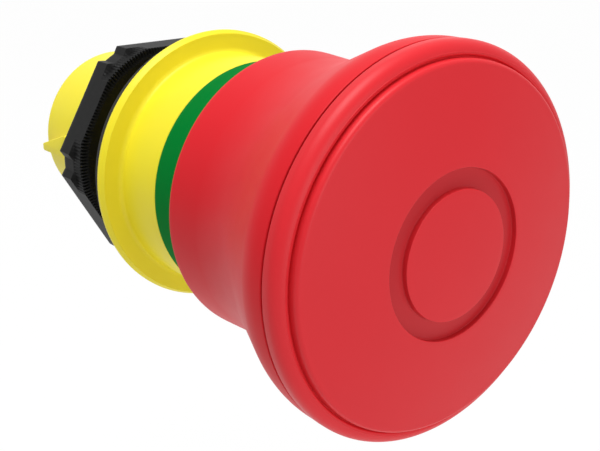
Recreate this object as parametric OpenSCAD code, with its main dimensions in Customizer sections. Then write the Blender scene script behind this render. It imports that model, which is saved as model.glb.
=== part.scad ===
// Panel-mount emergency stop operator with a 40 mm push-pull mushroom head.
// Each piece is drawn along its own turning axis with local +Z towards the head,
// then turned so that the head faces -Y, the barrel points to +Y and +Z is up.
// The origin is the centre of the seal's rear face, which lies on the panel.

/* [Head] */
// Widest diameter of the mushroom head
head_d = 40; // [38:0.5:50]
// Outside diameter of the skirt behind the neck
skirt_d = 31.8; // [31.4:0.2:34]
// Wall of the skirt and the shell
shell_wall = 1.6; // [1.2:0.1:1.8]
// Length of the rear shell, from the skirt's edge to the parting line
shell_len = 21.4; // [20:0.2:26]
// Height of the front cap above the parting line
cap_rise = 4.4; // [4:0.2:7]
// Wall of the front cap
cap_wall = 2; // [1.6:0.1:2.4]
// Radius of the centre disc inside the ring groove
groove_r = 6.55; // [5:0.05:8]
// Width of the ring groove in the cap
groove_w = 2; // [1:0.1:2.5]
// Depth of the ring groove in the cap
groove_depth = 0.7; // [0.4:0.1:1]

/* [Collar and flange] */
// Outside diameter of the collar
collar_d = 27.6; // [26.8:0.1:28]
// Bore of the collar, which holds the latch
collar_bore_d = 22; // [21:0.2:23]
// Diameter of the flange
flange_d = 32.6; // [31:0.2:38]
// Thickness of the flange
flange_t = 2.4; // [2:0.1:3.5]
// Length of plain collar that stays in view when the head is pressed
collar_reveal = 7.1; // [4:0.1:10]
// Radial thickness of the indicator band
band_t = 0.75; // [0.5:0.05:0.9]

/* [Barrel] */
// Diameter over the thread's crests
thread_d = 21.8; // [21:0.1:22]
// Diameter of the plain tail behind the thread
tail_d = 20.8; // [20.4:0.1:20.9]
// Bore of the barrel
barrel_bore_d = 18; // [17:0.2:18]
// Bore of the socket in the tail's end
socket_d = 18.4; // [18.2:0.1:18.6]
// Depth of the socket in the tail's end
socket_depth = 4.2; // [3:0.1:4.4]
// Length of the barrel behind the panel's front
barrel_len = 22.5; // [21.5:0.5:28]
// Length of the thread behind the panel's front
thread_len = 13.5; // [12:0.5:16]

/* [Nut and gasket] */
// Distance across the nut's flats
nut_af = 26.8; // [26:0.1:30]
// Thickness of the nut
nut_t = 4.3; // [3:0.1:5]
// Gap between gasket and nut, which takes the panel
panel_gap = 6.1; // [4.5:0.1:8]
// Thickness of the gasket
gasket_t = 0.9; // [0.6:0.1:1.5]

/* [Motion] */
// Travel of the head from released to latched
push_travel = 6; // [4:0.2:7.2]

/* [Stem] */
// Diameter of the stem's front shaft
stem_d = 8; // [7:0.2:8.6]
// Diameter of the stem at the foot of its latch ramp
ramp_d = 10; // [9.4:0.2:11]
// Diameter of the stem's tail
stem_tail_d = 6; // [5:0.2:6.4]
// Diameter of a latch pin
pin_d = 3; // [2.4:0.1:3.4]
// Diameter of the reset spring's wire
spring_wire_d = 1.2; // [0.8:0.1:1.3]
// Number of turns of the reset spring
spring_turns = 4; // [3:0.5:4]

/* [Clearances] */
// Radial running clearance of shafts and pins in their bores
run_gap = 0.05; // [0.02:0.01:0.09]
// Radial gap between pieces that are fitted and stay still
seat_gap = 0.03; // [0.02:0.01:0.05]
// Gap between pieces that pass each other freely
free_gap = 0.3; // [0.25:0.05:0.4]

/* [Hidden] */
$fn = 96;

// Places along the axis, from the tail to the head
flange_rear_z = gasket_t;
flange_front_z = flange_rear_z + flange_t;
nut_front_z = -panel_gap;
nut_rear_z = nut_front_z - nut_t;
tail_end_z = -barrel_len;
web_t = 3;
web_front_z = tail_end_z + socket_depth + 6.3;
web_rear_z = web_front_z - web_t;
skirt_rear_z = flange_front_z + collar_reveal + push_travel;
parting_z = skirt_rear_z + shell_len;
apex_z = parting_z + cap_rise;

// Latch: the cage stands on the collar's floor, then bush and retaining ring
cage_z = flange_rear_z + 2.1;
pin_z = cage_z + 5;
cage_len = pin_z - cage_z + push_travel;
bush_z = cage_z + cage_len;
bush_len = 4;
ring_z = bush_z + bush_len;
ring_t = 1;
collar_front_z = max(skirt_rear_z + 5.6, ring_z + ring_t + 1);

// Head: the web stands clear of the collar when the head is pressed
head_stop_gap = 1;
web_head_z = collar_front_z + push_travel + head_stop_gap;
web_head_t = 2.4;
hub_rear_z = ring_z + ring_t + push_travel + head_stop_gap;
hub_r = 6.4;

// Radii that pieces share
collar_r = collar_d / 2;
band_floor_r = collar_r - band_t;
collar_bore_r = collar_bore_d / 2;
barrel_bore_r = barrel_bore_d / 2;
skirt_r = skirt_d / 2;
skirt_bore_r = skirt_r - shell_wall;
head_r = head_d / 2;
stem_r = stem_d / 2;
ramp_r = ramp_d / 2;
tail_r = stem_tail_d / 2;
pin_r = pin_d / 2;
cage_bore_r = ramp_r + 1.4;

// Stem flange, pin and spring places that follow from the above
stem_flange_t = 2;
stem_flange_r = barrel_bore_r - 1.5;
stem_flange_z = cage_z - 0.1 - stem_flange_t;
rear_bush_flange_t = 1;
rear_bush_flange_r = stem_flange_r;
rear_bush_r = tail_r + 2;
pin_tip_x = ramp_r + 0.25;
pin_outer_x = collar_bore_r - 2;
pusher_z = web_rear_z - 0.6;
pusher_t = 2.2;
pusher_r = barrel_bore_r - 1.8;

// Fasteners
head_screw_r = 2;
head_screw_head_r = 3.8;
head_screw_head_t = 2.6;
head_screw_depth = 9;
washer_t = 0.8;
washer_r = 4.2;
pusher_screw_r = 1.2;
pusher_screw_head_r = 2.4;
pusher_screw_head_t = 1.1;
pusher_screw_depth = 5;

// Cap: rounded rim, narrow ledge, and a disc raised on it with a rounded edge and a dome
rim_round_r = 1.3;
rim_round_z = parting_z + 0.95;
disc_r = head_r - 1.6;
ledge_z = rim_round_z + rim_round_r + 0.05;
disc_edge_r = 0.45;
disc_edge_z = ledge_z + 0.25;
dome_edge_r = disc_r - disc_edge_r;
dome_sagitta = apex_z - disc_edge_z - disc_edge_r;
dome_r = (dome_edge_r * dome_edge_r + dome_sagitta * dome_sagitta) / (2 * dome_sagitta);
arc_steps = 10;

// Shell: slight draft on the skirt, hollow neck, straight flare, rounded rim
skirt_draft = 0.2;
skirt_straight = 4.8;
neck_arc_r = 22;
flare_angle = 24.5;
rim_arc_r = 5.8;
rim_edge_r = head_r - 0.05;
shell_front_bore_r = head_r - 3.4;
spigot_r = shell_front_bore_r - seat_gap;
spigot_wall = 1.4;
spigot_len = 3;

// Points of an arc about [cx, cz] from angle a to angle b
function arc(cx, cz, r, a, b, n = arc_steps) =
    [for (i = [0:n]) [cx + r * cos(a + (b - a) * i / n), cz + r * sin(a + (b - a) * i / n)]];

// Height of the dome at radius r, lowered by d
function dome_z(r, d = 0) = apex_z - dome_r + sqrt(dome_r * dome_r - r * r) - d;

// Dome from the axis out to radius r, lowered by d
function dome(r, d = 0) = arc(0, apex_z - dome_r - d, dome_r, 90, acos(r / dome_r));

// Turns a piece drawn along local Z so that its front faces -Y
module facing() {
    rotate([90, 0, 0]) children();
}

// Ring of rectangular section from z0 to z1
module ring(r_in, r_out, z0, z1) {
    translate([0, 0, z0]) difference() {
        cylinder(r = r_out, h = z1 - z0);
        translate([0, 0, -1]) cylinder(r = r_in, h = z1 - z0 + 2);
    }
}

// Round bar from z0 to z1
module bar(r, z0, z1) {
    translate([0, 0, z0]) cylinder(r = r, h = z1 - z0);
}

// Coil of round wire about local Z, its centre line from z0 to z1
module coil(r_mean, r_wire, z0, z1, turns, sides = 8, per_turn = 24) {
    steps = ceil(turns * per_turn);
    pitch = (z1 - z0) / turns;
    lean = atan(pitch / (360 * r_mean * PI / 180));
    points = [for (i = [0:steps]) let (t = 360 * turns * i / steps, z = z0 + (z1 - z0) * i / steps)
        for (k = [0:sides - 1]) let (
            a = 360 * k / sides,
            out = r_wire * cos(a),
            up = r_wire * sin(a)
        ) [
            (r_mean + out) * cos(t) + up * sin(lean) * sin(t),
            (r_mean + out) * sin(t) - up * sin(lean) * cos(t),
            z + up * cos(lean)
        ]];
    sleeve = [for (i = [0:steps - 1]) for (k = [0:sides - 1]) let (n = (k + 1) % sides)
        [i * sides + k, (i + 1) * sides + k, (i + 1) * sides + n, i * sides + n]];
    near_end = [[for (k = [0:sides - 1]) k]];
    far_end = [[for (k = [sides - 1:-1:0]) steps * sides + k]];
    polyhedron(points = points, faces = concat(sleeve, near_end, far_end), convexity = 10);
}

// Outline of the bezel body's outside, from the tail to the collar's mouth
function bezel_outline() = concat(
    [[0, tail_end_z], [tail_d / 2 - 0.4, tail_end_z], [tail_d / 2, tail_end_z + 0.4]],
    [[tail_d / 2, -thread_len - 0.5], [thread_d / 2, -thread_len], [thread_d / 2, flange_rear_z]],
    [[flange_d / 2 - 0.5, flange_rear_z], [flange_d / 2, flange_rear_z + 0.6]],
    [[flange_d / 2, flange_rear_z + 1.2], [flange_d / 2 - 0.7, flange_front_z - 0.3]],
    [[flange_d / 2 - 1.2, flange_front_z - 0.1]],
    arc(collar_r + 1.3, flange_front_z + 1.3, 1.3, 270, 180),
    [[collar_r, skirt_rear_z - push_travel], [band_floor_r, skirt_rear_z - push_travel]],
    [[band_floor_r, collar_front_z - 0.5], [band_floor_r - 0.5, collar_front_z], [0, collar_front_z]]
);

// One wedge lug on the tail, its blunt point towards the tail's end
module tail_lug() {
    lug_tip_z = tail_end_z + 1.2;
    lug_len = 3.4;
    lug_height = 1.2;
    translate([tail_d / 2 - 0.6, 0, lug_tip_z]) rotate([90, 0, 90])
        linear_extrude(height = lug_height + 0.6)
            polygon([[-0.45, 0], [0.45, 0], [1.6, lug_len - 0.6], [1.6, lug_len],
                     [-1.6, lug_len], [-1.6, lug_len - 0.6]]);
}

module bezel_body() {
    color("gold") facing() difference() {
        union() {
            rotate_extrude() polygon(bezel_outline());
            for (a = [0, 180]) rotate([0, 0, a]) tail_lug();
        }
        bar(socket_d / 2, tail_end_z - 1, tail_end_z + socket_depth);
        bar(barrel_bore_r, tail_end_z, web_rear_z);
        bar(rear_bush_r + seat_gap, web_rear_z - 1, web_front_z + 1);
        bar(barrel_bore_r, web_front_z, cage_z + 1);
        bar(collar_bore_r, cage_z, collar_front_z + 1);
        bar(collar_bore_r + 0.7, ring_z, ring_z + ring_t + 2 * seat_gap);
    }
}

module indicator_band() {
    band_rear_z = skirt_rear_z - push_travel + seat_gap;
    band_front_z = skirt_rear_z + 1.5;
    color("green") facing() ring(band_floor_r + seat_gap, collar_r, band_rear_z, band_front_z);
}

module panel_gasket() {
    color("black") facing() ring(thread_d / 2 + free_gap, flange_d / 2 - 0.8, 0, gasket_t);
}

// Hexagon with a chamfered front and its corners cut to a shallow notch
module fixing_nut() {
    flat_r = nut_af / 2;
    tip_r = flat_r * 1.093;
    notch_floor_r = flat_r * 1.048;
    notch_w = 1.6;
    chamfer_rise = 7;
    color("dimgray") facing() difference() {
        intersection() {
            translate([0, 0, nut_rear_z]) cylinder(r = flat_r / cos(30), h = nut_t, $fn = 6);
            bar(tip_r, nut_rear_z - 1, nut_front_z + 1);
            translate([0, 0, nut_front_z - chamfer_rise])
                cylinder(r1 = tip_r + chamfer_rise, r2 = tip_r - 0.45, h = chamfer_rise);
        }
        for (a = [0:60:300]) rotate([0, 0, a])
            translate([notch_floor_r, -notch_w / 2, nut_rear_z - 1]) cube([3, notch_w, nut_t + 2]);
        bar(thread_d / 2 + free_gap, nut_rear_z - 1, nut_front_z + 1);
    }
}

// Outside of the shell, from the skirt's edge to the parting line
function shell_outline() = let (
    neck_r = skirt_r - skirt_draft,
    neck_z = skirt_rear_z + skirt_straight,
    rim_z = parting_z - 1.1
) concat(
    [[skirt_r - 0.3, skirt_rear_z], [skirt_r, skirt_rear_z + 0.3]],
    arc(neck_r + neck_arc_r, neck_z, neck_arc_r, 180, 180 - flare_angle),
    arc(rim_edge_r - rim_arc_r, rim_z, rim_arc_r, -flare_angle, 0),
    [[rim_edge_r, parting_z]]
);

// Rib of the shell's web, standing between hub and wall
module web_rib() {
    translate([hub_r - 0.5, -0.6, web_head_z + web_head_t - 0.2])
        cube([shell_front_bore_r - hub_r + 0.7, 1.2, 2.4]);
}

module head_shell() {
    web_front_face_z = web_head_z + web_head_t;
    color("firebrick") facing() difference() {
        union() {
            difference() {
                rotate_extrude()
                    polygon(concat([[0, skirt_rear_z]], shell_outline(), [[0, parting_z]]));
                bar(skirt_bore_r, skirt_rear_z - 1, web_head_z);
                bar(shell_front_bore_r, web_front_face_z, parting_z + 1);
            }
            bar(hub_r, hub_rear_z, web_head_z + 0.5);
            for (a = [0:60:300]) rotate([0, 0, a]) web_rib();
        }
        bar(head_screw_r + 0.2, hub_rear_z - 1, web_front_face_z + 1);
    }
}

// Outside of the cap, from the axis to the parting line
function cap_outline() = concat(
    dome(dome_edge_r),
    arc(dome_edge_r, disc_edge_z, disc_edge_r, 70, 0, 4),
    [[disc_r, ledge_z]],
    arc(head_r - rim_round_r, rim_round_z, rim_round_r, 80, 0, 8),
    [[head_r, parting_z + 0.3], [head_r - 0.1, parting_z], [0, parting_z]]
);

module head_cap() {
    spigot_bore_r = spigot_r - spigot_wall;
    color("red") facing() difference() {
        union() {
            rotate_extrude() polygon(cap_outline());
            bar(spigot_r, parting_z - spigot_len, parting_z + 0.1);
        }
        rotate_extrude() polygon(concat(
            [[0, parting_z - spigot_len - 1]],
            dome(spigot_bore_r, cap_wall),
            [[spigot_bore_r, parting_z - spigot_len - 1]]
        ));
        rotate_extrude() polygon([
            [groove_r, dome_z(groove_r, groove_depth)],
            [groove_r + groove_w, dome_z(groove_r + groove_w, groove_depth)],
            [groove_r + groove_w, apex_z + 1],
            [groove_r, apex_z + 1]
        ]);
    }
}

module lock_washer() {
    washer_z = web_head_z + web_head_t;
    color("silver") facing() ring(head_screw_r + 0.2, washer_r, washer_z, washer_z + washer_t);
}

module head_screw() {
    head_z = web_head_z + web_head_t + washer_t;
    color("silver") facing() difference() {
        union() {
            bar(head_screw_r, hub_rear_z - head_screw_depth, head_z + 0.1);
            bar(head_screw_head_r, head_z, head_z + head_screw_head_t);
        }
        for (a = [0, 90]) rotate([0, 0, a])
            translate([-2.2, -0.4, head_z + 1.2]) cube([4.4, 0.8, 2]);
    }
}

module stem() {
    ramp_front_z = pin_z + push_travel;
    color("whitesmoke") facing() difference() {
        union() {
            bar(stem_r, ramp_front_z - 0.1, hub_rear_z);
            translate([0, 0, pin_z]) cylinder(r1 = ramp_r, r2 = stem_r, h = push_travel);
            bar(ramp_r, stem_flange_z, pin_z);
            bar(stem_flange_r, stem_flange_z, stem_flange_z + stem_flange_t);
            bar(tail_r, pusher_z, stem_flange_z + 0.1);
        }
        bar(head_screw_r + seat_gap, hub_rear_z - head_screw_depth - 1, hub_rear_z + 1);
        bar(pusher_screw_r + seat_gap, pusher_z - 1, pusher_z + pusher_screw_depth + 1);
    }
}

module front_bush() {
    o_ring_z = bush_z + 1.5;
    color("ivory") facing() difference() {
        ring(stem_r + run_gap, collar_bore_r - seat_gap, bush_z, ring_z);
        ring(collar_bore_r - 1.3, collar_bore_r + 1, o_ring_z - 0.7, o_ring_z + 0.7);
        bar(stem_r + 3.2, ring_z - 2, ring_z + 1);
    }
}

module bush_o_ring() {
    section_r = 0.58;
    color("black") facing() translate([0, 0, bush_z + 1.5]) rotate_extrude()
        translate([collar_bore_r - section_r - 0.08, 0]) circle(r = section_r, $fn = 24);
}

// Wiper with one lip that leans towards the head, just clear of the stem
module lip_seal() {
    seal_z = ring_z - 2 + seat_gap;
    lip_r = stem_r + free_gap;
    color("black") facing() rotate_extrude() polygon([
        [lip_r + 0.7, seal_z],
        [stem_r + 3.2 - seat_gap, seal_z],
        [stem_r + 3.2 - seat_gap, seal_z + 1.8],
        [stem_r + 2.2, seal_z + 1.8],
        [stem_r + 2.2, seal_z + 0.7],
        [lip_r + 0.8, seal_z + 0.7],
        [lip_r + 0.3, seal_z + 1.7],
        [lip_r, seal_z + 1.7]
    ]);
}

// Open ring that springs into the collar's groove
module retaining_ring() {
    color("silver") facing() difference() {
        ring(collar_bore_r - 1.6, collar_bore_r + 0.65, ring_z + seat_gap, ring_z + ring_t);
        translate([-1.8, 0, ring_z - 1]) cube([3.6, collar_bore_r + 2, ring_t + 2]);
    }
}

module latch_cage() {
    color("ivory") facing() difference() {
        ring(cage_bore_r, collar_bore_r - seat_gap, cage_z, bush_z);
        translate([-collar_bore_r - 1, 0, pin_z]) rotate([0, 90, 0])
            cylinder(r = pin_r + run_gap, h = collar_bore_d + 2, $fn = 48);
    }
}

// Latch pin on the +X side, its round nose towards the stem
module latch_pin() {
    nose_x = pin_tip_x + pin_r;
    translate([nose_x, 0, pin_z]) {
        sphere(r = pin_r, $fn = 48);
        rotate([0, 90, 0]) cylinder(r = pin_r, h = pin_outer_x - nose_x, $fn = 48);
    }
}

// Spring behind the latch pin on the +X side
module latch_spring() {
    wire_r = 0.2;
    coil_z0 = pin_outer_x + wire_r + 0.05;
    coil_z1 = collar_bore_r - wire_r - 0.05;
    translate([0, 0, pin_z]) rotate([0, 90, 0])
        coil(pin_r - wire_r - 0.25, wire_r, coil_z0, coil_z1, 3, 6, 12);
}

module latch_pin_left() {
    color("silver") facing() mirror([1, 0, 0]) latch_pin();
}

module latch_pin_right() {
    color("silver") facing() latch_pin();
}

module latch_spring_left() {
    color("gray") facing() rotate([0, 0, 180]) latch_spring();
}

module latch_spring_right() {
    color("gray") facing() latch_spring();
}

module return_spring() {
    wire_r = spring_wire_d / 2;
    end_gap = wire_r + 0.1;
    mean_r = (stem_flange_r + tail_r) / 2 + 0.9;
    coil_z0 = web_front_z + rear_bush_flange_t + end_gap;
    color("gray") facing()
        coil(mean_r, wire_r, coil_z0, stem_flange_z - end_gap, spring_turns, 8, 24);
}

module rear_bush() {
    flange_z1 = web_front_z + rear_bush_flange_t;
    color("ivory") facing() difference() {
        union() {
            bar(rear_bush_r, web_rear_z, flange_z1);
            bar(rear_bush_flange_r, web_front_z, flange_z1);
        }
        bar(tail_r + run_gap, web_rear_z - 1, flange_z1 + 1);
    }
}

module rear_pusher() {
    pusher_rear_z = pusher_z - pusher_t;
    color("ivory") facing() difference() {
        bar(pusher_r, pusher_rear_z, pusher_z);
        bar(pusher_screw_r + 0.15, pusher_rear_z - 1, pusher_z + 1);
        bar(pusher_screw_head_r + 0.3, pusher_rear_z - 1, pusher_rear_z + pusher_screw_head_t);
    }
}

module pusher_screw() {
    head_z = pusher_z - pusher_t;
    color("silver") facing() difference() {
        union() {
            bar(pusher_screw_head_r, head_z, head_z + pusher_screw_head_t);
            bar(pusher_screw_r, head_z + 0.1, pusher_z + pusher_screw_depth);
        }
        translate([-1.6, -0.3, head_z - 1]) cube([3.2, 0.6, 1.5]);
    }
}

bezel_body();
indicator_band();
panel_gasket();
fixing_nut();
head_shell();
head_cap();
head_screw();
lock_washer();
stem();
front_bush();
bush_o_ring();
lip_seal();
retaining_ring();
latch_cage();
latch_pin_left();
latch_pin_right();
latch_spring_left();
latch_spring_right();
return_spring();
rear_bush();
rear_pusher();
pusher_screw();
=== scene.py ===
import logging
import math
from collections.abc import Callable, Sequence
from dataclasses import dataclass, field
from enum import Enum

import bmesh
import bpy
import numpy as np
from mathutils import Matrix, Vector


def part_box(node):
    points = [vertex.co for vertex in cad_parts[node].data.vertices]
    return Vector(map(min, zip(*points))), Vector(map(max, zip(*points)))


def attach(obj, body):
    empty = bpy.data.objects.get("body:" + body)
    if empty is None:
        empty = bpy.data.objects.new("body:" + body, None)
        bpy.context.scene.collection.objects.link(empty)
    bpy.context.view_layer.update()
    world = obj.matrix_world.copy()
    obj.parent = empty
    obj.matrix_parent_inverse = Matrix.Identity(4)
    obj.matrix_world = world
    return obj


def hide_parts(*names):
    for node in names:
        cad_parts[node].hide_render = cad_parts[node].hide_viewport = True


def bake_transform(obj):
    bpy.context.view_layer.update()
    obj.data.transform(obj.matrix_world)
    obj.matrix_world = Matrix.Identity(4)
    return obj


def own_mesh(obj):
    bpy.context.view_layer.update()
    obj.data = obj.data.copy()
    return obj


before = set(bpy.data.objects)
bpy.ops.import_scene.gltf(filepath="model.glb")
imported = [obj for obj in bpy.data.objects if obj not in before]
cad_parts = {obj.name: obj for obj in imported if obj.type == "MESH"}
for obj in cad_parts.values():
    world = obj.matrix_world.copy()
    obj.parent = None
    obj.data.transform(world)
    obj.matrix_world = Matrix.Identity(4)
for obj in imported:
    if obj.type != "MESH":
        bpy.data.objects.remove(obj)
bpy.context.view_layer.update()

# Looks of a panel-mount emergency stop operator with a mushroom head.
#
# Every shape is worked out in millimetres about the operator's axis. A height is measured
# along that axis from the panel's front towards the head, so a height h lies at y = -h.
# Classes for the sub-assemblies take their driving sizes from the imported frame.

MM = 0.001
SEGMENTS = 256
LOG = logging.getLogger("operator")

Array = np.ndarray
Corner = tuple[float, float, float]


class Body(str, Enum):
    """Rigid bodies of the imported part."""

    BEZEL = "bezel"
    HEAD = "head"
    PIN_LEFT = "pin_left"
    PIN_RIGHT = "pin_right"
    NUT = "nut"


class Slot(str, Enum):
    """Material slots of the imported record."""

    YELLOW = "yellow_moulding"
    GREEN = "green_band"
    RUBBER = "seal_rubber"
    NUT = "nut_plastic"
    SHELL = "red_shell"
    CAP = "red_cap"
    ZINC = "zinc_steel"
    STEM = "stem_plastic"
    BUSH = "bush_plastic"
    SPRING = "spring_steel"


# ---------------------------------------------------------------- sizes from the frame


@dataclass(frozen=True)
class Extent:
    """Reach of a CAD node along and around the axis, in millimetres."""

    rear: float
    front: float
    radius: float
    left: float
    right: float

    @classmethod
    def of(cls, node: str) -> "Extent":
        """Reads a node's box.

        Args:
            node: name of the CAD node.

        Returns:
            Its reach: rear and front heights, largest half width, and its x limits.
        """
        low, high = (np.array(corner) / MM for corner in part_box(node))
        return cls(
            rear=float(-high[1]),
            front=float(-low[1]),
            radius=float(max(-low[2], high[2])),
            left=float(low[0]),
            right=float(high[0]),
        )


# ---------------------------------------------------------------- surfaces


@dataclass
class Surface:
    """Vertices in millimetres and faces of a closed mesh."""

    vertices: Array
    faces: list[tuple[int, ...]]

    def joined(self, other: "Surface") -> "Surface":
        """Returns this surface and another as one mesh of separate shells."""
        shift = len(self.vertices)
        moved = [tuple(i + shift for i in face) for face in other.faces]
        return Surface(np.vstack([self.vertices, other.vertices]), self.faces + moved)

    def outward(self) -> "Surface":
        """Returns the surface with its faces wound so that the enclosed volume is positive.

        The volume is the sum over the faces' triangles of a . (b x c) / 6.
        """
        volume = 0.0
        for size in (3, 4):
            group = np.array([f for f in self.faces if len(f) == size])
            for k in range(1, size - 1):
                if len(group):
                    a, b, c = (self.vertices[group[:, i]] for i in (0, k, k + 1))
                    volume += float(np.einsum("ij,ij->", a, np.cross(b, c)))
        if volume >= 0:
            return self
        return Surface(self.vertices, [face[::-1] for face in self.faces])


def arc(centre: tuple[float, float], radius: float, start: float, end: float, count: int) -> Array:
    """Points of a circular arc, centre + radius (cos a, sin a).

    Args:
        centre: radius and height of the arc's centre.
        radius: radius of the arc.
        start: first angle in degrees, 0 pointing away from the axis.
        end: last angle in degrees.
        count: number of points.

    Returns:
        An array of (radius, height) points.
    """
    angle = np.radians(np.linspace(start, end, count))
    return np.column_stack([centre[0] + radius * np.cos(angle), centre[1] + radius * np.sin(angle)])


def rounded(corners: Sequence[Corner], steps: int = 5) -> Array:
    """Polyline through corners, each replaced by an arc tangent to its two sides.

    A corner of half angle t between its sides, rounded with radius f, is cut f / tan(t) along
    each side; the arc's centre lies f / sin(t) along the bisector.

    Args:
        corners: (radius, height, fillet) of each corner; a fillet of 0 keeps it sharp.
        steps: number of points on each arc, less one.

    Returns:
        An array of (radius, height) points.
    """
    places = np.array([corner[:2] for corner in corners], float)
    points: list[Array] = [places[:1]]
    for i in range(1, len(corners) - 1):
        fillet = corners[i][2]
        back, ahead = places[i - 1] - places[i], places[i + 1] - places[i]
        back, ahead = back / np.linalg.norm(back), ahead / np.linalg.norm(ahead)
        half = math.acos(float(np.clip(back @ ahead, -1, 1))) / 2
        if fillet <= 0 or half > math.radians(89.5):
            points.append(places[i : i + 1])
            continue
        bisector = (back + ahead) / np.linalg.norm(back + ahead)
        centre = places[i] + bisector * fillet / math.sin(half)
        start = places[i] + back * fillet / math.tan(half) - centre
        end = places[i] + ahead * fillet / math.tan(half) - centre
        span = math.pi - 2 * half
        turn = math.copysign(span, start[0] * end[1] - start[1] * end[0])
        a = math.atan2(start[1], start[0]) + turn * np.linspace(0, 1, steps + 1)
        points.append(centre + fillet * np.column_stack([np.cos(a), np.sin(a)]))
    points.append(places[-1:])
    return np.vstack(points)


Swell = Callable[[Array, Array, Array], tuple[Array, Array]]


def grid_faces(rows: int, columns: int, wrap_rows: bool) -> list[tuple[int, ...]]:
    """Quads of a grid whose columns wrap round, and whose rows may.

    Args:
        rows: number of rows.
        columns: number of columns.
        wrap_rows: whether the last row joins the first.

    Returns:
        The quads as tuples of vertex numbers.
    """
    i = np.arange(rows if wrap_rows else rows - 1)[:, None]
    j = np.arange(columns)[None, :]
    below, above = i * columns, ((i + 1) % rows) * columns
    ahead = (j + 1) % columns
    quads = np.stack([below + j, below + ahead, above + ahead, above + j], axis=-1)
    return [tuple(quad) for quad in quads.reshape(-1, 4).tolist()]


def lathe(outline: Array, swell: Swell | None = None, columns: int = SEGMENTS) -> Surface:
    """Turns a closed outline, or one that starts and ends on the axis, about the axis.

    A point (r, h) at angle t lies at (r cos t, -h, r sin t).

    Args:
        outline: (radius, height) points.
        swell: takes angles, radii and heights on the grid and returns new radii and heights.
        columns: number of steps round the axis.

    Returns:
        The turned surface, with its faces outward.
    """
    angle = np.linspace(0, 2 * np.pi, columns, endpoint=False)[None, :]
    radius = np.repeat(outline[:, :1], columns, axis=1)
    height = np.repeat(outline[:, 1:2], columns, axis=1)
    if swell is not None:
        radius, height = swell(np.broadcast_to(angle, radius.shape), radius, height)
    points = np.stack([radius * np.cos(angle), -height, radius * np.sin(angle)], axis=-1)
    on_axis = outline[0, 0] < 1e-9 and outline[-1, 0] < 1e-9
    faces = grid_faces(len(outline), columns, wrap_rows=not on_axis)
    return Surface(points.reshape(-1, 3), faces).outward()


def block(low: Sequence[float], high: Sequence[float]) -> Surface:
    """Returns a box between two corners, as a thin web or rib."""
    corners = np.array([[x, y, z] for x in (low[0], high[0]) for y in (low[1], high[1]) for z in (low[2], high[2])])
    quads = [(0, 1, 3, 2), (4, 6, 7, 5), (0, 4, 5, 1), (2, 3, 7, 6), (0, 2, 6, 4), (1, 5, 7, 3)]
    return Surface(corners, quads).outward()


def turned(surface: Surface, degrees: float) -> Surface:
    """Returns the surface turned about the operator's axis."""
    a = math.radians(degrees)
    turn = np.array([[math.cos(a), 0, -math.sin(a)], [0, 1, 0], [math.sin(a), 0, math.cos(a)]])
    return Surface(surface.vertices @ turn.T, surface.faces)


def coil(path: Array, wire: float, sides: int = 12) -> Surface:
    """Sweeps a round wire along a path and closes both ends.

    Each ring lies in the plane across the path: point = path + wire (n cos a + b sin a), where
    b is the path's direction crossed with the outward direction n.

    Args:
        path: centre line, an array of (x, y, z) points that winds about some line.
        wire: radius of the wire.
        sides: number of sides of the wire's section.

    Returns:
        The swept surface, with its faces outward.
    """
    ahead = np.gradient(path, axis=0)
    ahead /= np.linalg.norm(ahead, axis=1, keepdims=True)
    bend = np.gradient(ahead, axis=0)
    normal = bend - ahead * np.einsum("ij,ij->i", bend, ahead)[:, None]
    normal /= np.linalg.norm(normal, axis=1, keepdims=True)
    binormal = np.cross(ahead, normal)
    a = np.linspace(0, 2 * np.pi, sides, endpoint=False)[None, :, None]
    rings = path[:, None] + wire * (normal[:, None] * np.cos(a) + binormal[:, None] * np.sin(a))
    last, near = (len(path) - 1) * sides, len(path) * sides
    faces = grid_faces(len(path), sides, wrap_rows=False)
    faces += [((k + 1) % sides, k, near) for k in range(sides)]
    faces += [(last + k, last + (k + 1) % sides, near + 1) for k in range(sides)]
    return Surface(np.vstack([rings.reshape(-1, 3), path[0], path[-1]]), faces).outward()


# ---------------------------------------------------------------- finishes

MIX_FACTOR, MIX_A, MIX_B, MIX_RESULT = 0, 6, 7, 2


def linear(code: str, gain: float = 1.0) -> tuple[float, float, float, float]:
    """Turns an sRGB hex colour to linear light.

    Args:
        code: colour such as "#D2362C".
        gain: factor on the linear values.

    Returns:
        Linear red, green, blue and alpha.
    """
    values = [int(code[i : i + 2], 16) / 255 for i in (1, 3, 5)]
    light = [v / 12.92 if v <= 0.04045 else ((v + 0.055) / 1.055) ** 2.4 for v in values]
    return (*(min(1.0, v * gain) for v in light), 1.0)


def add_node(tree: bpy.types.NodeTree, kind: str, inputs: dict | None = None, **settings) -> bpy.types.Node:
    """Adds a node with its settings, values and links.

    Args:
        tree: node tree to add to.
        kind: type of the node.
        inputs: socket name or number to a value, or to a socket that is linked to it.
        **settings: attributes of the node.

    Returns:
        The new node.
    """
    node = tree.nodes.new(kind)
    for key, value in settings.items():
        setattr(node, key, value)
    for key, value in (inputs or {}).items():
        if isinstance(value, bpy.types.NodeSocket):
            tree.links.new(value, node.inputs[key])
        else:
            node.inputs[key].default_value = value
    return node


def empty_material(name: str) -> tuple[bpy.types.Material, bpy.types.NodeTree]:
    """Returns a new material and its cleared node tree."""
    material = bpy.data.materials.new(name)
    material.use_nodes = True
    material.node_tree.nodes.clear()
    return material, material.node_tree


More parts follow.
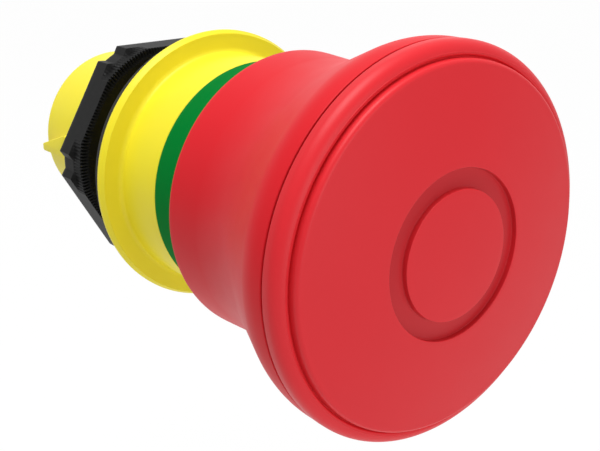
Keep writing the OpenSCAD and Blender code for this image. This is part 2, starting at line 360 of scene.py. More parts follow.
def noise(tree: bpy.types.NodeTree, size_mm: float, detail: float,
          stretch: Sequence[float] = (1, 1, 1)) -> bpy.types.NodeSocket:
    """Adds a noise pattern whose blotches are about size_mm across, in object space.

    Args:
        tree: node tree to add to.
        size_mm: size of a blotch in millimetres.
        detail: number of finer octaves.
        stretch: how many times longer the blotches are along each axis.

    Returns:
        The noise's value socket.
    """
    place = add_node(tree, "ShaderNodeTexCoord")
    scale = [1 / (size_mm * MM * s) for s in stretch]
    mapping = add_node(tree, "ShaderNodeMapping", {"Vector": place.outputs["Object"], "Scale": scale})
    pattern = add_node(tree, "ShaderNodeTexNoise", {"Vector": mapping.outputs["Vector"], "Scale": 1.0,
                       "Detail": detail})
    return pattern.outputs["Fac"]


@dataclass(frozen=True)
class MouldedPlastic:
    """Injection-moulded plastic: a satin skin copied from a spark-eroded mould.

    To the eye it is one colour with the faintest clouding, broad soft highlights that are a
    little uneven, and a grain that only breaks up the highlight's edge.
    """

    name: str
    tint: str
    roughness: float = 0.38
    cloud_mm: float = 9.0
    cloud: float = 0.05
    grain_mm: float = 0.35
    grain_depth_mm: float = 0.006
    specular: float = 0.5
    # radii of the ring groove's floor, between which the colour is darkened as painted shade
    groove: tuple[float, float] | None = None

    def paint_groove_shade(self, tree: bpy.types.NodeTree, tint: bpy.types.NodeSocket) -> bpy.types.NodeSocket:
        """Paints shade into the colour between two radii about the axis: the ring groove's floor is darkened as painted
        shade, standing in for the shade in the recess.

        The share is the product of two steps of the radius, the root of x^2 + z^2.

        Args:
            tree: node tree to add to.
            tint: colour socket to darken.

        Returns:
            The darkened colour's socket.
        """
        inner, outer = (radius * MM for radius in self.groove)
        place = add_node(tree, "ShaderNodeTexCoord")
        flat = add_node(tree, "ShaderNodeVectorMath", {0: place.outputs["Object"], 1: (1, 0, 1)}, operation="MULTIPLY")
        radius = add_node(tree, "ShaderNodeVectorMath", {0: flat.outputs["Vector"]}, operation="LENGTH")
        past = add_node(tree, "ShaderNodeMapRange", {"Value": radius.outputs["Value"], "From Min": inner,
                        "From Max": inner + 0.1 * MM})
        before = add_node(tree, "ShaderNodeMapRange", {"Value": radius.outputs["Value"], "From Min": outer - 0.1 * MM,
                          "From Max": outer, "To Min": 1.0, "To Max": 0.0})
        share = add_node(tree, "ShaderNodeMath", {0: past.outputs["Result"], 1: before.outputs["Result"]},
                         operation="MULTIPLY")
        groove_shade_colour = add_node(tree, "ShaderNodeMix", {MIX_FACTOR: share.outputs[0], MIX_A: tint,
                        MIX_B: linear(self.tint, 0.76)}, data_type="RGBA")
        return groove_shade_colour.outputs[MIX_RESULT]

    def build(self) -> bpy.types.Material:
        """Returns the finished material."""
        material, tree = empty_material(self.name)
        cloud = noise(tree, self.cloud_mm, 3.0)
        tint = add_node(tree, "ShaderNodeMix", {MIX_FACTOR: cloud, MIX_A: linear(self.tint, 1 - self.cloud),
                        MIX_B: linear(self.tint, 1 + self.cloud)}, data_type="RGBA")
        colour = tint.outputs[MIX_RESULT]
        # Painted shade: the ring groove's floor is darkened to stand in for the shade in the recess.
        if self.groove is not None:
            colour = self.paint_groove_shade(tree, colour)
        sheen = add_node(tree, "ShaderNodeMapRange", {"Value": noise(tree, self.cloud_mm / 3, 4.0),
                         "To Min": self.roughness - 0.05, "To Max": self.roughness + 0.05})
        # The grain of the mould is about 0.05 mm, and is drawn coarser so that it shows.
        grain = add_node(tree, "ShaderNodeBump", {"Height": noise(tree, self.grain_mm, 2.0), "Strength": 0.35,
                         "Distance": self.grain_depth_mm * MM})
        skin = add_node(tree, "ShaderNodeBsdfPrincipled", {"Base Color": colour,
                        "Roughness": sheen.outputs["Result"], "Normal": grain.outputs["Normal"],
                        "Specular IOR Level": self.specular})
        add_node(tree, "ShaderNodeOutputMaterial", {"Surface": skin.outputs["BSDF"]})
        return material


@dataclass(frozen=True)
class WorkedMetal:
    """Drawn or turned steel, zinc-plated or bare.

    To the eye it is a grey mirror broken by fine lines along the way it was worked, with
    duller patches where the plating varies.
    """

    name: str
    tint: str
    roughness: float
    line_mm: float
    stretch: tuple[float, float, float]

    def build(self) -> bpy.types.Material:
        """Returns the finished material."""
        material, tree = empty_material(self.name)
        patch = noise(tree, 2.5, 3.0)
        tint = add_node(tree, "ShaderNodeMix", {MIX_FACTOR: patch, MIX_A: linear(self.tint, 0.86),
                        MIX_B: linear(self.tint, 1.06)}, data_type="RGBA")
        gloss = add_node(tree, "ShaderNodeMapRange", {"Value": patch, "To Min": self.roughness - 0.07,
                         "To Max": self.roughness + 0.09})
        lines = add_node(tree, "ShaderNodeBump", {"Height": noise(tree, self.line_mm, 2.0, self.stretch),
                         "Strength": 0.4, "Distance": 0.01 * MM})
        skin = add_node(tree, "ShaderNodeBsdfPrincipled", {"Base Color": tint.outputs[MIX_RESULT], "Metallic": 1.0,
                        "Roughness": gloss.outputs["Result"], "Normal": lines.outputs["Normal"]})
        add_node(tree, "ShaderNodeOutputMaterial", {"Surface": skin.outputs["BSDF"]})
        return material


@dataclass(frozen=True)
class MouldedRubber:
    """Compression-moulded nitrile rubber: near black, dull, with a bloom of grey dust."""

    name: str
    tint: str

    def build(self) -> bpy.types.Material:
        """Returns the finished material."""
        material, tree = empty_material(self.name)
        bloom = noise(tree, 1.6, 5.0)
        tint = add_node(tree, "ShaderNodeMix", {MIX_FACTOR: bloom, MIX_A: linear(self.tint, 0.7),
                        MIX_B: linear(self.tint, 1.9)}, data_type="RGBA")
        skin_bump = add_node(tree, "ShaderNodeBump", {"Height": noise(tree, 0.3, 3.0), "Strength": 0.5,
                             "Distance": 0.012 * MM})
        skin = add_node(tree, "ShaderNodeBsdfPrincipled", {"Base Color": tint.outputs[MIX_RESULT], "Roughness": 0.72,
                        "Normal": skin_bump.outputs["Normal"], "Specular IOR Level": 0.35})
        add_node(tree, "ShaderNodeOutputMaterial", {"Surface": skin.outputs["BSDF"]})
        return material


FINISHES = {
    # Glass-filled nylon, dyed signal yellow: satin, with a slightly chalky highlight.
    Slot.YELLOW: MouldedPlastic("nylon_signal_yellow", "#FAEA30", roughness=0.42, cloud=0.03, specular=0.25),
    # ABS band, flat signal green: even and dull, so it reads as a painted mark.
    Slot.GREEN: MouldedPlastic("abs_signal_green", "#007A2E", roughness=0.65, cloud=0.03, specular=0.03),
    # Nitrile seal, dull black.
    Slot.RUBBER: MouldedRubber("nitrile_black", "#161616"),
    # Glass-filled nylon, black: greyish where light grazes its grain.
    Slot.NUT: MouldedPlastic("nylon_black_glass_filled", "#0B0B0B", roughness=0.5, specular=0.13,
                             cloud=0.18, cloud_mm=2.0,
                             grain_mm=0.22, grain_depth_mm=0.012),
    # Acrylic-capped ABS in signal red: satin, a touch glossier on the cap than on the shell.
    Slot.SHELL: MouldedPlastic("abs_signal_red_shell", "#DA222B", roughness=0.42, cloud=0.03, specular=0.11),
    Slot.CAP: MouldedPlastic("abs_signal_red_cap", "#DC2931", roughness=0.42, cloud=0.025, specular=0.22,
                             # groove: painted shade, the ring groove's floor darkened to 0.76 of the tint between these
                             # radii
                             groove=(6.5, 8.6)),
    # Zinc-plated steel, turned: silver grey with faint rings.
    Slot.ZINC: WorkedMetal("steel_zinc_plated", "#C9CAC6", 0.32, 0.12, (1.0, 12.0, 1.0)),
    # Acetal, turned or moulded: milky and waxy.
    Slot.STEM: MouldedPlastic("acetal_white", "#DDDCD4", roughness=0.33, cloud=0.04),
    Slot.BUSH: MouldedPlastic("acetal_natural", "#CFC9B6", roughness=0.4, cloud=0.05),
    # Hard-drawn spring wire: darker, with draw lines along it.
    Slot.SPRING: WorkedMetal("steel_spring_wire", "#85868A", 0.3, 0.1, (6.0, 1.0, 6.0)),
}


@dataclass
class Wardrobe:
    """Builds each finish once and dresses pieces with it."""

    built: dict[Slot, bpy.types.Material] = field(default_factory=dict)

    def material(self, slot: Slot) -> bpy.types.Material:
        """Returns the slot's material, built on first use."""
        if slot not in self.built:
            self.built[slot] = FINISHES[slot].build()
        return self.built[slot]

    def dress_node(self, node: str, slot: Slot) -> None:
        """Gives a CAD node that stays in view its finish.

        Args:
            node: name of the CAD node.
            slot: slot whose finish it takes.
        """
        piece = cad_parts[node]
        for holder in piece.material_slots:
            holder.material = self.material(slot)
        LOG.info("dressed %s as %s", node, slot.value)

    def add_piece(self, name: str, surface: Surface, slot: Slot, body: Body, nodes: Sequence[str],
                  sharp_degrees: float = 32.0, follows: tuple[Body, float, float] | None = None) -> bpy.types.Object:
        """Makes a mesh object from a surface, dresses it, and ties it to its body unless follows is given.

        Args:
            name: name of the piece.
            surface: closed surface in millimetres.
            slot: slot whose finish it takes.
            body: body that it rides on.
            nodes: CAD nodes that it stands for.
            sharp_degrees: edges that turn more than this are drawn sharp.
            follows: a second body, and the x in millimetres where its share starts and is whole; when given, the piece
                is left untied with its transform baked in, and neither these values nor body are used.

        Returns:
            The new object.
        """
        mesh = bpy.data.meshes.new(name)
        mesh.from_pydata((surface.vertices * MM).tolist(), [], surface.faces)
        work = bmesh.new()
        work.from_mesh(mesh)
        bmesh.ops.remove_doubles(work, verts=work.verts, dist=0.001 * MM)
        bmesh.ops.dissolve_degenerate(work, edges=work.edges, dist=0.0002 * MM)
        work.to_mesh(mesh)
        work.free()
        mesh.shade_smooth()
        mesh.set_sharp_from_angle(angle=math.radians(sharp_degrees))
        mesh.materials.append(self.material(slot))
        piece = bpy.data.objects.new(name, mesh)
        bpy.context.scene.collection.objects.link(piece)
        if follows is None:
            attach(piece, body.value)
        else:
            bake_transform(piece)
        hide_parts(*nodes)
        LOG.info("made %s with %d faces", name, len(mesh.polygons))
        return piece


# ---------------------------------------------------------------- head


@dataclass
class MushroomHead:
    """Red head: a domed cap snapped on a hollow shell that is screwed to the stem."""

    wardrobe: Wardrobe
    shell: Extent = field(default_factory=lambda: Extent.of("head_shell"))
    cap: Extent = field(default_factory=lambda: Extent.of("head_cap"))
    washer: Extent = field(default_factory=lambda: Extent.of("lock_washer"))
    wall: float = 1.6
    spigot_inset: float = 3.4
    spigot_wall: float = 1.4
    disc_inset: float = 1.6
    skirt_radius: float = 15.9
    neck_length: float = 4.8
    neck_arc: float = 22.0
    flare_degrees: float = 24.5
    rim_arc: float = 5.8
    rim_land: float = 1.1
    web_thickness: float = 2.4
    hub_radius: float = 6.4
    screw_hole: float = 2.2
    rib_width: float = 1.2
    cap_wall: float = 2.0
    rim_round: float = 1.3
    ledge_width: float = 0.55
    crease_depth: float = 0.4
    disc_edge: float = 0.5
    groove_radius: float = 6.55
    groove_width: float = 2.0
    groove_depth: float = 0.6
    seam_gap: float = 0.26
    seam_depth: float = 1.3

    def dome_height(self, radius: Array | float, lowered: float = 0.0) -> Array | float:
        """Height of the cap's dome, a sphere through the apex and the disc's edge.

        Args:
            radius: distance from the axis.
            lowered: how far below the outer dome.

        Returns:
            apex - radius^2 / (2 R), R being the sphere's radius; the dome is so flat that the
            parabola is within 0.001 mm of it.
        """
        edge_radius = self.shell.radius - 2.05
        sagitta = self.cap.front - self.ledge_height - 0.25 - self.disc_edge
        return self.cap.front - lowered - sagitta * (np.asarray(radius) / edge_radius) ** 2

    @property
    def ledge_height(self) -> float:
        """Height of the narrow ledge between the rim's rounding and the raised disc."""
        return self.shell.front + 0.95 + self.rim_round + 0.05

    def cap_outline(self) -> Array:
        """Outline of the cap: dome with its ring groove, raised edge, ledge, rim, spigot, inside."""
        rim_radius = self.cap.radius
        disc_radius = rim_radius - self.disc_inset
        inner, outer = self.groove_radius, self.groove_radius + self.groove_width
        spigot = rim_radius - self.spigot_inset - 0.03
        bore = spigot - self.spigot_wall
        heart = np.linspace(0, inner - 0.6, 14)
        field_radii = np.linspace(outer + 0.6, disc_radius - self.disc_edge, 18)
        underside = np.linspace(bore, 0, 16)
        groove = rounded([
            (inner - 0.6, float(self.dome_height(inner - 0.6)), 0),
            (inner, float(self.dome_height(inner)), 0.08),
            (inner + 0.02, float(self.dome_height(inner)) - self.groove_depth, 0.1),
            (outer - 0.02, float(self.dome_height(outer)) - self.groove_depth, 0.1),
            (outer, float(self.dome_height(outer)), 0.08),
            (outer + 0.6, float(self.dome_height(outer + 0.6)), 0),
        ])
        edge_top = float(self.dome_height(disc_radius - self.disc_edge))
        edge = rounded([
            (disc_radius - self.disc_edge - 0.3, float(self.dome_height(disc_radius - self.disc_edge - 0.3)), 0),
            (disc_radius - 0.02, edge_top - 0.04, self.disc_edge),
            (disc_radius + 0.01, self.ledge_height - self.crease_depth, 0.06),
            (disc_radius + 0.12, self.ledge_height - self.crease_depth, 0.05),
            (disc_radius + 0.26, self.ledge_height - 0.08, 0.2),
            (disc_radius + self.ledge_width, self.ledge_height - 0.05, 0),
        ], steps=7)
        rim = arc((rim_radius - self.rim_round, self.shell.front + 0.95), self.rim_round, 78, 0, 16)
        skirt = rounded([
            (rim_radius, self.shell.front + 0.9, 0),
            (rim_radius, self.shell.front + self.seam_gap, 0.12),
            (rim_radius - self.seam_depth, self.shell.front + self.seam_gap, 0),
            (rim_radius - self.seam_depth, self.shell.front, 0),
            (spigot, self.shell.front, 0),
            (spigot, self.cap.rear, 0.3),
            (bore, self.cap.rear, 0.3),
            (bore, self.cap.rear + 1.0, 0),
        ])
        return np.vstack([
            np.column_stack([heart, self.dome_height(heart)])[:-1],
            groove,
            np.column_stack([field_radii, self.dome_height(field_radii)])[1:-2],
            edge,
            rim,
            skirt,
            np.column_stack([underside, self.dome_height(underside, self.cap_wall)]),
        ])

    def shell_outline(self) -> Array:
        """Outline of the shell: drafted skirt, hollow neck, flare, rim, front bore, web, hub."""
        skirt_radius, rim_radius = self.skirt_radius, self.shell.radius
        neck_radius, neck_height = skirt_radius - 0.2, self.shell.rear + self.neck_length
        skirt_bore, front_bore = skirt_radius - self.wall, self.cap.radius - self.spigot_inset
        web_front = self.washer.rear
        web_rear = web_front - self.web_thickness
        hub_rear = Extent.of("stem").front
        rim_height = self.shell.front - self.rim_land
        outside = np.vstack([
            rounded([(skirt_bore, self.shell.rear + 0.8, 0), (skirt_bore, self.shell.rear, 0.35),
                     (skirt_radius, self.shell.rear, 0.45), (skirt_radius - 0.02, self.shell.rear + 1.0, 0)]),
            arc((neck_radius + self.neck_arc, neck_height), self.neck_arc, 180, 180 - self.flare_degrees, 24),
            arc((rim_radius - self.rim_arc, rim_height), self.rim_arc, -self.flare_degrees, 0, 16),
        ])
        inside = rounded([
            (rim_radius, rim_height + 0.1, 0),
            (rim_radius, self.shell.front, 0.12),
            (rim_radius - 0.45, self.shell.front, 0),
            (front_bore, self.shell.front, 0),
            (front_bore, web_front, 0.4),
            (self.hub_radius - 1.0, web_front, 0),
            (self.screw_hole, web_front, 0),
            (self.screw_hole, hub_rear, 0),
            (self.hub_radius, hub_rear, 0.4),
            (self.hub_radius, web_rear, 0.6),
            (skirt_bore, web_rear, 0.6),
            (skirt_bore, self.shell.rear + 1.2, 0),
        ])
        return np.vstack([outside, inside])

    def ribs(self) -> Surface:
        """Six webs on the shell's floor between hub and wall."""
        floor, half = self.washer.rear, self.rib_width / 2
        rib = block([self.hub_radius - 0.5, -(floor + 2.2), -half],
                    [self.cap.radius - self.spigot_inset + 0.2, -(floor - 0.2), half])
        ring = rib
        for step in range(1, 6):
            ring = ring.joined(turned(rib, 60 * step))
        return ring

    def build(self) -> None:
        """Makes the cap and the shell, and dresses what holds them."""
        self.wardrobe.add_piece("domed_cap", lathe(self.cap_outline(), columns=320), Slot.CAP, Body.HEAD, ["head_cap"])
        shell = lathe(self.shell_outline(), columns=320).joined(self.ribs())
        self.wardrobe.add_piece("flared_shell", shell, Slot.SHELL, Body.HEAD, ["head_shell"])
        self.wardrobe.dress_node("head_screw", Slot.ZINC)
        self.wardrobe.dress_node("lock_washer", Slot.ZINC)


# ---------------------------------------------------------------- bezel body


@dataclass
class BezelBody:
    """Yellow moulding: collar, flange, threaded barrel and tail with two wedge lugs."""

    wardrobe: Wardrobe
    body: Extent = field(default_factory=lambda: Extent.of("bezel_body"))
    band: Extent = field(default_factory=lambda: Extent.of("indicator_band"))
    gasket: Extent = field(default_factory=lambda: Extent.of("panel_gasket"))
    cage: Extent = field(default_factory=lambda: Extent.of("latch_cage"))
    rear_bush: Extent = field(default_factory=lambda: Extent.of("rear_bush"))
    ring: Extent = field(default_factory=lambda: Extent.of("retaining_ring"))
    thread_radius: float = 10.9
    thread_depth: float = 0.75
    thread_pitch: float = 1.5
    thread_length: float = 13.5
    tail_radius: float = 10.4
    socket_radius: float = 9.2
    socket_depth: float = 4.2
    barrel_bore: float = 9.0
    collar_bore: float = 11.0
    ring_groove: float = 0.7
    flange_thickness: float = 2.4
    web_thickness: float = 3.0
    web_hole: float = 5.03
    lug_height: float = 1.2

    def outline(self) -> Array:
        """Outline of the whole moulding, outside then inside, closed."""
        tail, mouth = self.body.rear, self.body.front
        seat = self.gasket.front
        flange = self.body.radius
        face = seat + self.flange_thickness
        collar = self.band.radius
        floor = collar - 0.75
        web_front = self.rear_bush.front - 1.0
        web_rear = web_front - self.web_thickness
        outside = rounded([
            (self.socket_radius, tail + 0.8, 0),
            (self.socket_radius, tail, 0.25),
            (self.tail_radius, tail, 0.45),
            (self.tail_radius, -self.thread_length - 0.5, 0.2),
            (self.thread_radius, -self.thread_length, 0),
        ])
        thread_rows = np.arange(-self.thread_length + 0.1, seat - 0.15, 0.115)
        thread = np.column_stack([np.full_like(thread_rows, self.thread_radius), thread_rows])
        front = rounded([
            (self.thread_radius, seat - 0.1, 0),
            (self.thread_radius, seat, 0),
            (flange - 0.8, seat, 0.1),
            (flange - 0.3, seat + 0.95, 0.3),
            (flange, seat + 1.35, 0.1),
            (flange, face - 0.7, 0.1),
            (flange - 0.35, face - 0.1, 0.1),
            (collar, face, 0.6),
            (collar, self.band.rear - 0.03, 0.08),
            (floor, self.band.rear - 0.03, 0),
            (floor, mouth, 0.5),
            (self.collar_bore, mouth, 0.4),
            (self.collar_bore, self.ring.front + 0.06, 0),
            (self.collar_bore + self.ring_groove, self.ring.front + 0.06, 0),
            (self.collar_bore + self.ring_groove, self.ring.rear - 0.03, 0),
            (self.collar_bore, self.ring.rear - 0.03, 0),
            (self.collar_bore, self.cage.rear, 0),
            (self.barrel_bore, self.cage.rear, 0.2),
            (self.barrel_bore, web_front, 0.3),
            (self.web_hole, web_front, 0),
            (self.web_hole, web_rear, 0.2),
            (self.barrel_bore, web_rear, 0.3),
            (self.barrel_bore, tail + self.socket_depth, 0),
            (self.socket_radius, tail + self.socket_depth, 0),
            (self.socket_radius, tail + 1.0, 0),
        ], steps=6)
        return np.vstack([outside, thread, front])

    def thread(self, angle: Array, radius: Array, height: Array) -> tuple[Array, Array]:
        """Cuts a screw thread in the rows of the barrel.

        The phase is height / pitch - angle / turn; the depth is a triangle wave of it with its
        points cut flat, which fades in and out over the first and last pitch.

        Args:
            angle: angles of the grid in radians.
            radius: radii of the grid.
            height: heights of the grid.

        Returns:
            The new radii, and the heights as they were.
        """
        phase = (height / self.thread_pitch - angle / (2 * np.pi)) % 1.0
        wave = np.clip(1.3 * (1 - np.abs(2 * phase - 1)) - 0.15, 0, 1)
        start, end = -self.thread_length + 0.1, self.gasket.front - 0.2
        fade = np.clip((height - start) / self.thread_pitch, 0, 1) * np.clip((end - height) / self.thread_pitch, 0, 1)
        on_thread = np.abs(radius - self.thread_radius) < 1e-6
        return radius - np.where(on_thread, self.thread_depth * wave * np.clip(fade * 1.6, 0, 1), 0), height

    def lug(self) -> Surface:
        """Ramped lug on the +X side of the tail: one side along the axis, the other a ramp.

        Rows of one rounded outline climb from inside the wall to the lug's top; the last rows
        shrink by 0.2 (1 - cos a) and rise by 0.2 sin a, so that the top edge is round.
        """
        tip, shoulder = self.body.rear + 1.1, -self.thread_length - 1.2
        outline = rounded([(1.2, (tip + shoulder) / 2, 0), (1.2, shoulder, 0.2), (-2.1, shoulder, 0.3),
                           (0.3, tip, 0.25), (1.2, tip, 0.3), (1.2, (tip + shoulder) / 2 - 0.1, 0)], steps=4)
        centre = np.array([0.3, shoulder + (tip - shoulder) * 0.35])
        a = np.radians([0, 22, 45, 67, 90])
        top = self.tail_radius + self.lug_height
        climbs = np.concatenate([[self.tail_radius - 0.6], top - 0.2 + 0.2 * np.sin(a)])
        shrinks = np.concatenate([[0], 0.2 * (1 - np.cos(a))])
        reach = np.linalg.norm(outline - centre, axis=1)[:, None]
        rows = []
        for climb, shrink in zip(climbs, shrinks):
            ring = centre + (outline - centre) * (1 - shrink / reach)
            rows.append(np.column_stack([np.full(len(ring), climb), -ring[:, 1], ring[:, 0]]))
        ends = [np.tile([[climb, -centre[1], centre[0]]], (len(outline), 1)) for climb in (climbs[0], climbs[-1])]
        grid = np.vstack([ends[0], *rows, ends[1]])
        return Surface(grid, grid_faces(len(rows) + 2, len(outline), wrap_rows=False)).outward()

    def band_outline(self) -> Array:
        """Outline of the green band, a ring with broken edges."""
        inner, outer = self.band.radius - 0.72, self.band.radius
        return rounded([
            (inner, (self.band.rear + self.band.front) / 2, 0), (inner, self.band.rear, 0),
            (outer, self.band.rear, 0.06), (outer, self.band.front, 0.15), (inner, self.band.front, 0),
            (inner, (self.band.rear + self.band.front) / 2 + 0.1, 0)])

    def gasket_outline(self) -> Array:
        """Outline of the gasket: a flat ring with a sealing bead on the panel's side."""
        inner, outer, rear, front = self.thread_radius + 0.3, self.gasket.radius, self.gasket.rear, self.gasket.front
        return rounded([
            (inner, (rear + front) / 2, 0), (inner, rear + 0.12, 0.06), (outer - 3.2, rear + 0.12, 0.05),
            (outer - 2.7, rear, 0.15), (outer - 1.9, rear, 0.15), (outer - 1.4, rear + 0.12, 0.05),
            (outer, rear + 0.12, 0.3), (outer, front, 0.1), (inner, front, 0.06), (inner, (rear + front) / 2 + 0.1, 0)])

    def build(self) -> None:
        """Makes the moulding, band and gasket, and dresses what lies inside the collar."""
        moulding = lathe(self.outline(), self.thread, columns=320)
        moulding = moulding.joined(self.lug()).joined(turned(self.lug(), 180))
        self.wardrobe.add_piece("collar_and_barrel", moulding, Slot.YELLOW, Body.BEZEL, ["bezel_body"])
        self.wardrobe.add_piece("green_band", lathe(self.band_outline()), Slot.GREEN, Body.BEZEL, ["indicator_band"])
        gasket = lathe(self.gasket_outline())
        self.wardrobe.add_piece("flange_gasket", gasket, Slot.RUBBER, Body.BEZEL, ["panel_gasket"])
        for node, slot in {"front_bush": Slot.BUSH, "latch_cage": Slot.BUSH, "rear_bush": Slot.BUSH,
                           "retaining_ring": Slot.SPRING, "bush_o_ring": Slot.RUBBER,
                           "lip_seal": Slot.RUBBER}.items():
            self.wardrobe.dress_node(node, slot)


# ---------------------------------------------------------------- fixing nut


@dataclass
class FixingNut:
    """Black hexagon nut with notched corners and a serrated front rim."""

    wardrobe: Wardrobe
    nut: Extent = field(default_factory=lambda: Extent.of("fixing_nut"))
    bore: float = 11.2
    thread_pitch: float = 1.5
    notch_floor: float = 1.048
    notch_half_width: float = 0.78
    notch_slope: float = 0.8
    rim_share: float = 1.043
    rim_length: float = 1.55
    step_ramp: float = 0.28
    tooth_depth: float = 0.1
    teeth: int = 216
    columns_per_tooth: int = 6

    def side(self, angle: Array, height: Array) -> Array:
        """Radius of the nut's side.

        A hexagon, flat / cos(a), a being the angle from the nearest flat's middle. Each corner
        is notched down to a floor between two inclined walls. In front, the side is also held
        within a circle with fine teeth.

        Args:
            angle: angles of the grid in radians.
            height: heights of the grid.

        Returns:
            The radii.
        """
        flat, sixth = self.nut.radius, np.pi / 3
        from_flat = (angle % sixth) - sixth / 2
        hexagon = flat / np.cos(from_flat)
        across = hexagon * np.sin(sixth / 2 - np.abs(from_flat))
        floor = flat * self.notch_floor
        notch = np.maximum(floor, floor + (across - self.notch_half_width) * self.notch_slope)
        rear_side = np.minimum(hexagon, notch)
        tooth = 0.5 - 0.5 * np.cos(angle * self.teeth)
        front_side = np.minimum(hexagon, flat * self.rim_share + self.tooth_depth * (tooth - 0.5))
        step = self.nut.front - self.rim_length
        share = np.clip((height - (step - self.step_ramp)) / self.step_ramp, 0, 1)
        return rear_side + (np.minimum(front_side, rear_side + 0.02) - rear_side) * share

    def surface(self) -> Surface:
        """The nut as one grid.

        Each row has a share t between bore (0) and side (1), a height and an inset from the
        side: r = bore + t (side - inset - bore). The bore's rows follow a thread of the same
        pitch as the barrel's, and the front face's rim is cut by radial teeth.
        """
        rear, front = self.nut.rear, self.nut.front
        columns = self.teeth * self.columns_per_tooth
        angle = np.linspace(0, 2 * np.pi, columns, endpoint=False)[None, :]
        bore_rows = [(0.0, h, 0.0) for h in np.arange(front - 0.35, rear + 0.3, -0.17)]
        rows = [(share, rear, 0.0) for share in (0.1, 0.45, 0.8)]
        rows += [(1.0, rear, 0.22), (1.0, rear + 0.06, 0.07), (1.0, rear + 0.22, 0.0)]
        rows += [(1.0, h, 0.0) for h in np.linspace(rear + 0.6, front - 1.9, 5)]
        rows += [(1.0, front - drop, 0.0) for drop in (1.83, 1.7, 1.55, 1.5, 1.0, 0.45, 0.2)]
        rows += [(1.0, front - 0.06, 0.06), (1.0, front, 0.2)]
        rows += [(share, front, 0.0) for share in (0.9, 0.72, 0.62, 0.3, 0.12)]
        rows += bore_rows
        share, height, inset = (np.array(column)[:, None] for column in zip(*rows))
        side = self.side(np.broadcast_to(angle, (len(rows), columns)), np.broadcast_to(height, (len(rows), columns)))
        phase = (height / self.thread_pitch - angle / (2 * np.pi)) % 1.0
        cut = np.where(share == 0, 0.5 * np.clip(1.3 * (1 - np.abs(2 * phase - 1)) - 0.15, 0, 1), 0)
        radius = self.bore + cut + share * (side - inset - self.bore)
        tooth = 0.5 - 0.5 * np.cos(angle * self.teeth)
        rim = np.clip((radius - 12.9) / 0.25, 0, 1) * (height > front - 0.1)
        lowered = np.broadcast_to(height, radius.shape) - 0.22 * tooth * rim
        points = np.stack([radius * np.cos(angle), -lowered, radius * np.sin(angle)], axis=-1)
        return Surface(points.reshape(-1, 3), grid_faces(len(rows), columns, wrap_rows=True)).outward()

    def build(self) -> None:
        """Makes the nut."""
        self.wardrobe.add_piece("notched_nut", self.surface(), Slot.NUT, Body.NUT, ["fixing_nut"], 24.0)


# ---------------------------------------------------------------- mechanism


@dataclass
class Mechanism:
    """Stem, springs, latch pins and pusher, mostly hidden."""

    wardrobe: Wardrobe

    def axial_coil(self) -> Surface:
        """Reset spring round the stem, its last half turns at both ends closed flat.

        Height against turn is a line whose slope fades to nothing over the end half turns.
        """
        spring = Extent.of("return_spring")
        wire, turns = 0.6, 4.0
        t = np.linspace(0, turns, int(turns * 48))
        rate = np.clip(np.minimum(t, turns - t) / 0.5, 0.12, 1)
        climb = np.concatenate([[0], np.cumsum((rate[1:] + rate[:-1]) / 2)])
        height = spring.rear + wire + (spring.front - spring.rear - 2 * wire) * climb / climb[-1]
        mean = spring.radius - wire
        path = np.column_stack([mean * np.cos(2 * np.pi * t), -height, mean * np.sin(2 * np.pi * t)])
        return coil(path, wire)

    def pin_coil(self, node: str) -> Surface:
        """Small spring behind a latch pin, wound along X.

        Args:
            node: name of the spring's CAD node.

        Returns:
            The spring.
        """
        spring = Extent.of(node)
        wire, turns = 0.2, 3.0
        middle = (spring.rear + spring.front) / 2
        t = np.linspace(0, turns, int(turns * 32))
        x = spring.left + wire + (spring.right - spring.left - 2 * wire) * t / turns
        mean = spring.radius - wire
        path = np.column_stack([x, -middle + mean * np.cos(2 * np.pi * t), mean * np.sin(2 * np.pi * t)])
        return coil(path, wire, sides=8)

    def build(self) -> None:
        """Makes the springs and dresses the turned and moulded pieces."""
        spring = Extent.of("return_spring")
        piece = self.wardrobe.add_piece("reset_coil", self.axial_coil(), Slot.SPRING, Body.BEZEL, ["return_spring"], 60)
        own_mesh(piece)
        for side, body in (("left", Body.PIN_LEFT), ("right", Body.PIN_RIGHT)):
            node = f"latch_spring_{side}"
            reach = Extent.of(node)
            outer, inner = sorted((reach.left, reach.right), key=abs, reverse=True)
            self.wardrobe.add_piece(f"pin_coil_{side}", self.pin_coil(node), Slot.SPRING, Body.BEZEL, [node], 60,
                                    follows=(body, outer, inner))
            self.wardrobe.dress_node(f"latch_pin_{side}", Slot.ZINC)
        self.wardrobe.dress_node("stem", Slot.STEM)
        self.wardrobe.dress_node("rear_pusher", Slot.STEM)
        self.wardrobe.dress_node("pusher_screw", Slot.ZINC)


# ---------------------------------------------------------------- studio


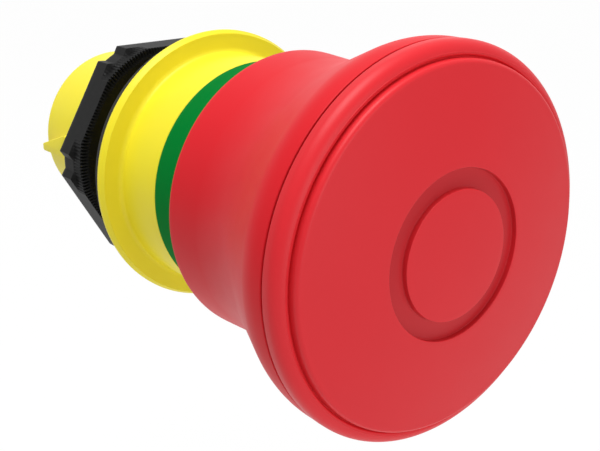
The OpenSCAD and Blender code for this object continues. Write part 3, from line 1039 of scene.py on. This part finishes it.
@dataclass
class Studio:
    """Plain white studio: floor, world, soft lights and camera."""

    floor_drop: float = 62.0
    floor_reach: float = 1500.0

    def floor(self) -> None:
        """Makes the pale floor below the part, which keeps a soft shadow."""
        radii = np.concatenate([[0], np.geomspace(20, self.floor_reach, 14)])
        angle = np.linspace(0, 2 * np.pi, 64, endpoint=False)[None, :]
        x, y = radii[:, None] * np.cos(angle), radii[:, None] * np.sin(angle)
        points = np.stack([x, y, np.full_like(x, -self.floor_drop)], axis=-1).reshape(-1, 3)
        mesh = bpy.data.meshes.new("studio_floor")
        mesh.from_pydata((points * MM).tolist(), [], grid_faces(len(radii), 64, wrap_rows=False))
        mesh.materials.append(self.paper())
        floor = bpy.data.objects.new("studio_floor", mesh)
        bpy.context.scene.collection.objects.link(floor)

    def paper(self) -> bpy.types.Material:
        """White paper: matt, and lifted to white where the camera or a reflection sees it."""
        material, tree = empty_material("paper_white")
        fibre = noise(tree, 1.5, 3.0)
        tint = add_node(tree, "ShaderNodeMix", {MIX_FACTOR: fibre, MIX_A: linear("#F4F4F4"), MIX_B: linear("#FBFBFB")},
                        data_type="RGBA")
        matt = add_node(tree, "ShaderNodeBsdfDiffuse", {"Color": tint.outputs[MIX_RESULT]})
        white = add_node(tree, "ShaderNodeEmission", {"Color": (1, 1, 1, 1), "Strength": 1.01})
        seen = self.seen(tree)
        most = add_node(tree, "ShaderNodeMath", {0: seen, 1: 0.97}, operation="MULTIPLY")
        both = add_node(tree, "ShaderNodeMixShader", {0: most.outputs[0], 1: matt.outputs[0], 2: white.outputs[0]})
        add_node(tree, "ShaderNodeOutputMaterial", {"Surface": both.outputs[0]})
        return material

    def seen(self, tree: bpy.types.NodeTree) -> bpy.types.NodeSocket:
        """Adds a value that is 1 for camera, glossy and transmission rays, and returns it."""
        path = add_node(tree, "ShaderNodeLightPath")
        first = add_node(tree, "ShaderNodeMath", {0: path.outputs["Is Camera Ray"], 1: path.outputs["Is Glossy Ray"]},
                         operation="MAXIMUM")
        both = add_node(tree, "ShaderNodeMath", {0: first.outputs[0], 1: path.outputs["Is Transmission Ray"]},
                        operation="MAXIMUM")
        return both.outputs[0]

    def world(self) -> None:
        """White surroundings: plain fill on the part, white where they are seen."""
        world = bpy.data.worlds.new("white_surroundings")
        world.use_nodes = True
        tree = world.node_tree
        tree.nodes.clear()
        strength = add_node(tree, "ShaderNodeMapRange", {"Value": self.seen(tree), "To Min": 0.2, "To Max": 1.0})
        white = add_node(tree, "ShaderNodeBackground", {"Color": (1, 1, 1, 1), "Strength": strength.outputs["Result"]})
        add_node(tree, "ShaderNodeOutputWorld", {"Surface": white.outputs[0]})
        bpy.context.scene.world = world

    def lamp(self, name: str, place: Sequence[float], size: float, watts: float) -> None:
        """Adds a square soft light that faces the part.

        Args:
            name: name of the light.
            place: its place in millimetres.
            size: length of its side in millimetres.
            watts: its power.
        """
        light = bpy.data.lights.new(name, "AREA")
        light.shape = "SQUARE"
        light.size = size * MM
        light.energy = watts
        holder = bpy.data.objects.new(name, light)
        holder.location = Vector(place) * MM
        aim = Vector((0, -15, 0)) * MM - holder.location
        holder.rotation_euler = aim.to_track_quat("-Z", "Y").to_euler()
        bpy.context.scene.collection.objects.link(holder)

    def camera(self) -> None:
        """Places the camera left of the head and above it, looking down at the part."""
        azimuth, elevation, distance = math.radians(-38.65), math.radians(19.41), 118.9
        back = Vector((math.sin(azimuth) * math.cos(elevation), -math.cos(azimuth) * math.cos(elevation),
                       math.sin(elevation)))
        aim = Vector((0.18, -18.13, -3.53))
        lens = bpy.data.cameras.new("view")
        lens.sensor_width = 36.0
        lens.lens = 63.8
        lens.clip_start = 1 * MM
        lens.clip_end = 20.0
        holder = bpy.data.objects.new("view", lens)
        holder.location = (aim + back * distance) * MM
        holder.rotation_euler = (-back).to_track_quat("-Z", "Y").to_euler()
        bpy.context.scene.collection.objects.link(holder)
        bpy.context.scene.camera = holder

    def build(self) -> None:
        """Makes floor, world, lights and camera."""
        self.floor()
        self.world()
        self.lamp("key_overhead", (-75, -25, 312), 200, 1.1)
        self.lamp("fill_front", (10, -345, 50), 200, 0.38)
        self.camera()
        bpy.context.scene.view_settings.view_transform = "Standard"


def main() -> None:
    """Builds the studio and every sub-assembly."""
    logging.basicConfig(level=logging.INFO, format="%(message)s")
    wardrobe = Wardrobe()
    Studio().build()
    MushroomHead(wardrobe).build()
    BezelBody(wardrobe).build()
    FixingNut(wardrobe).build()
    Mechanism(wardrobe).build()


if __name__ == "__main__":
    main()
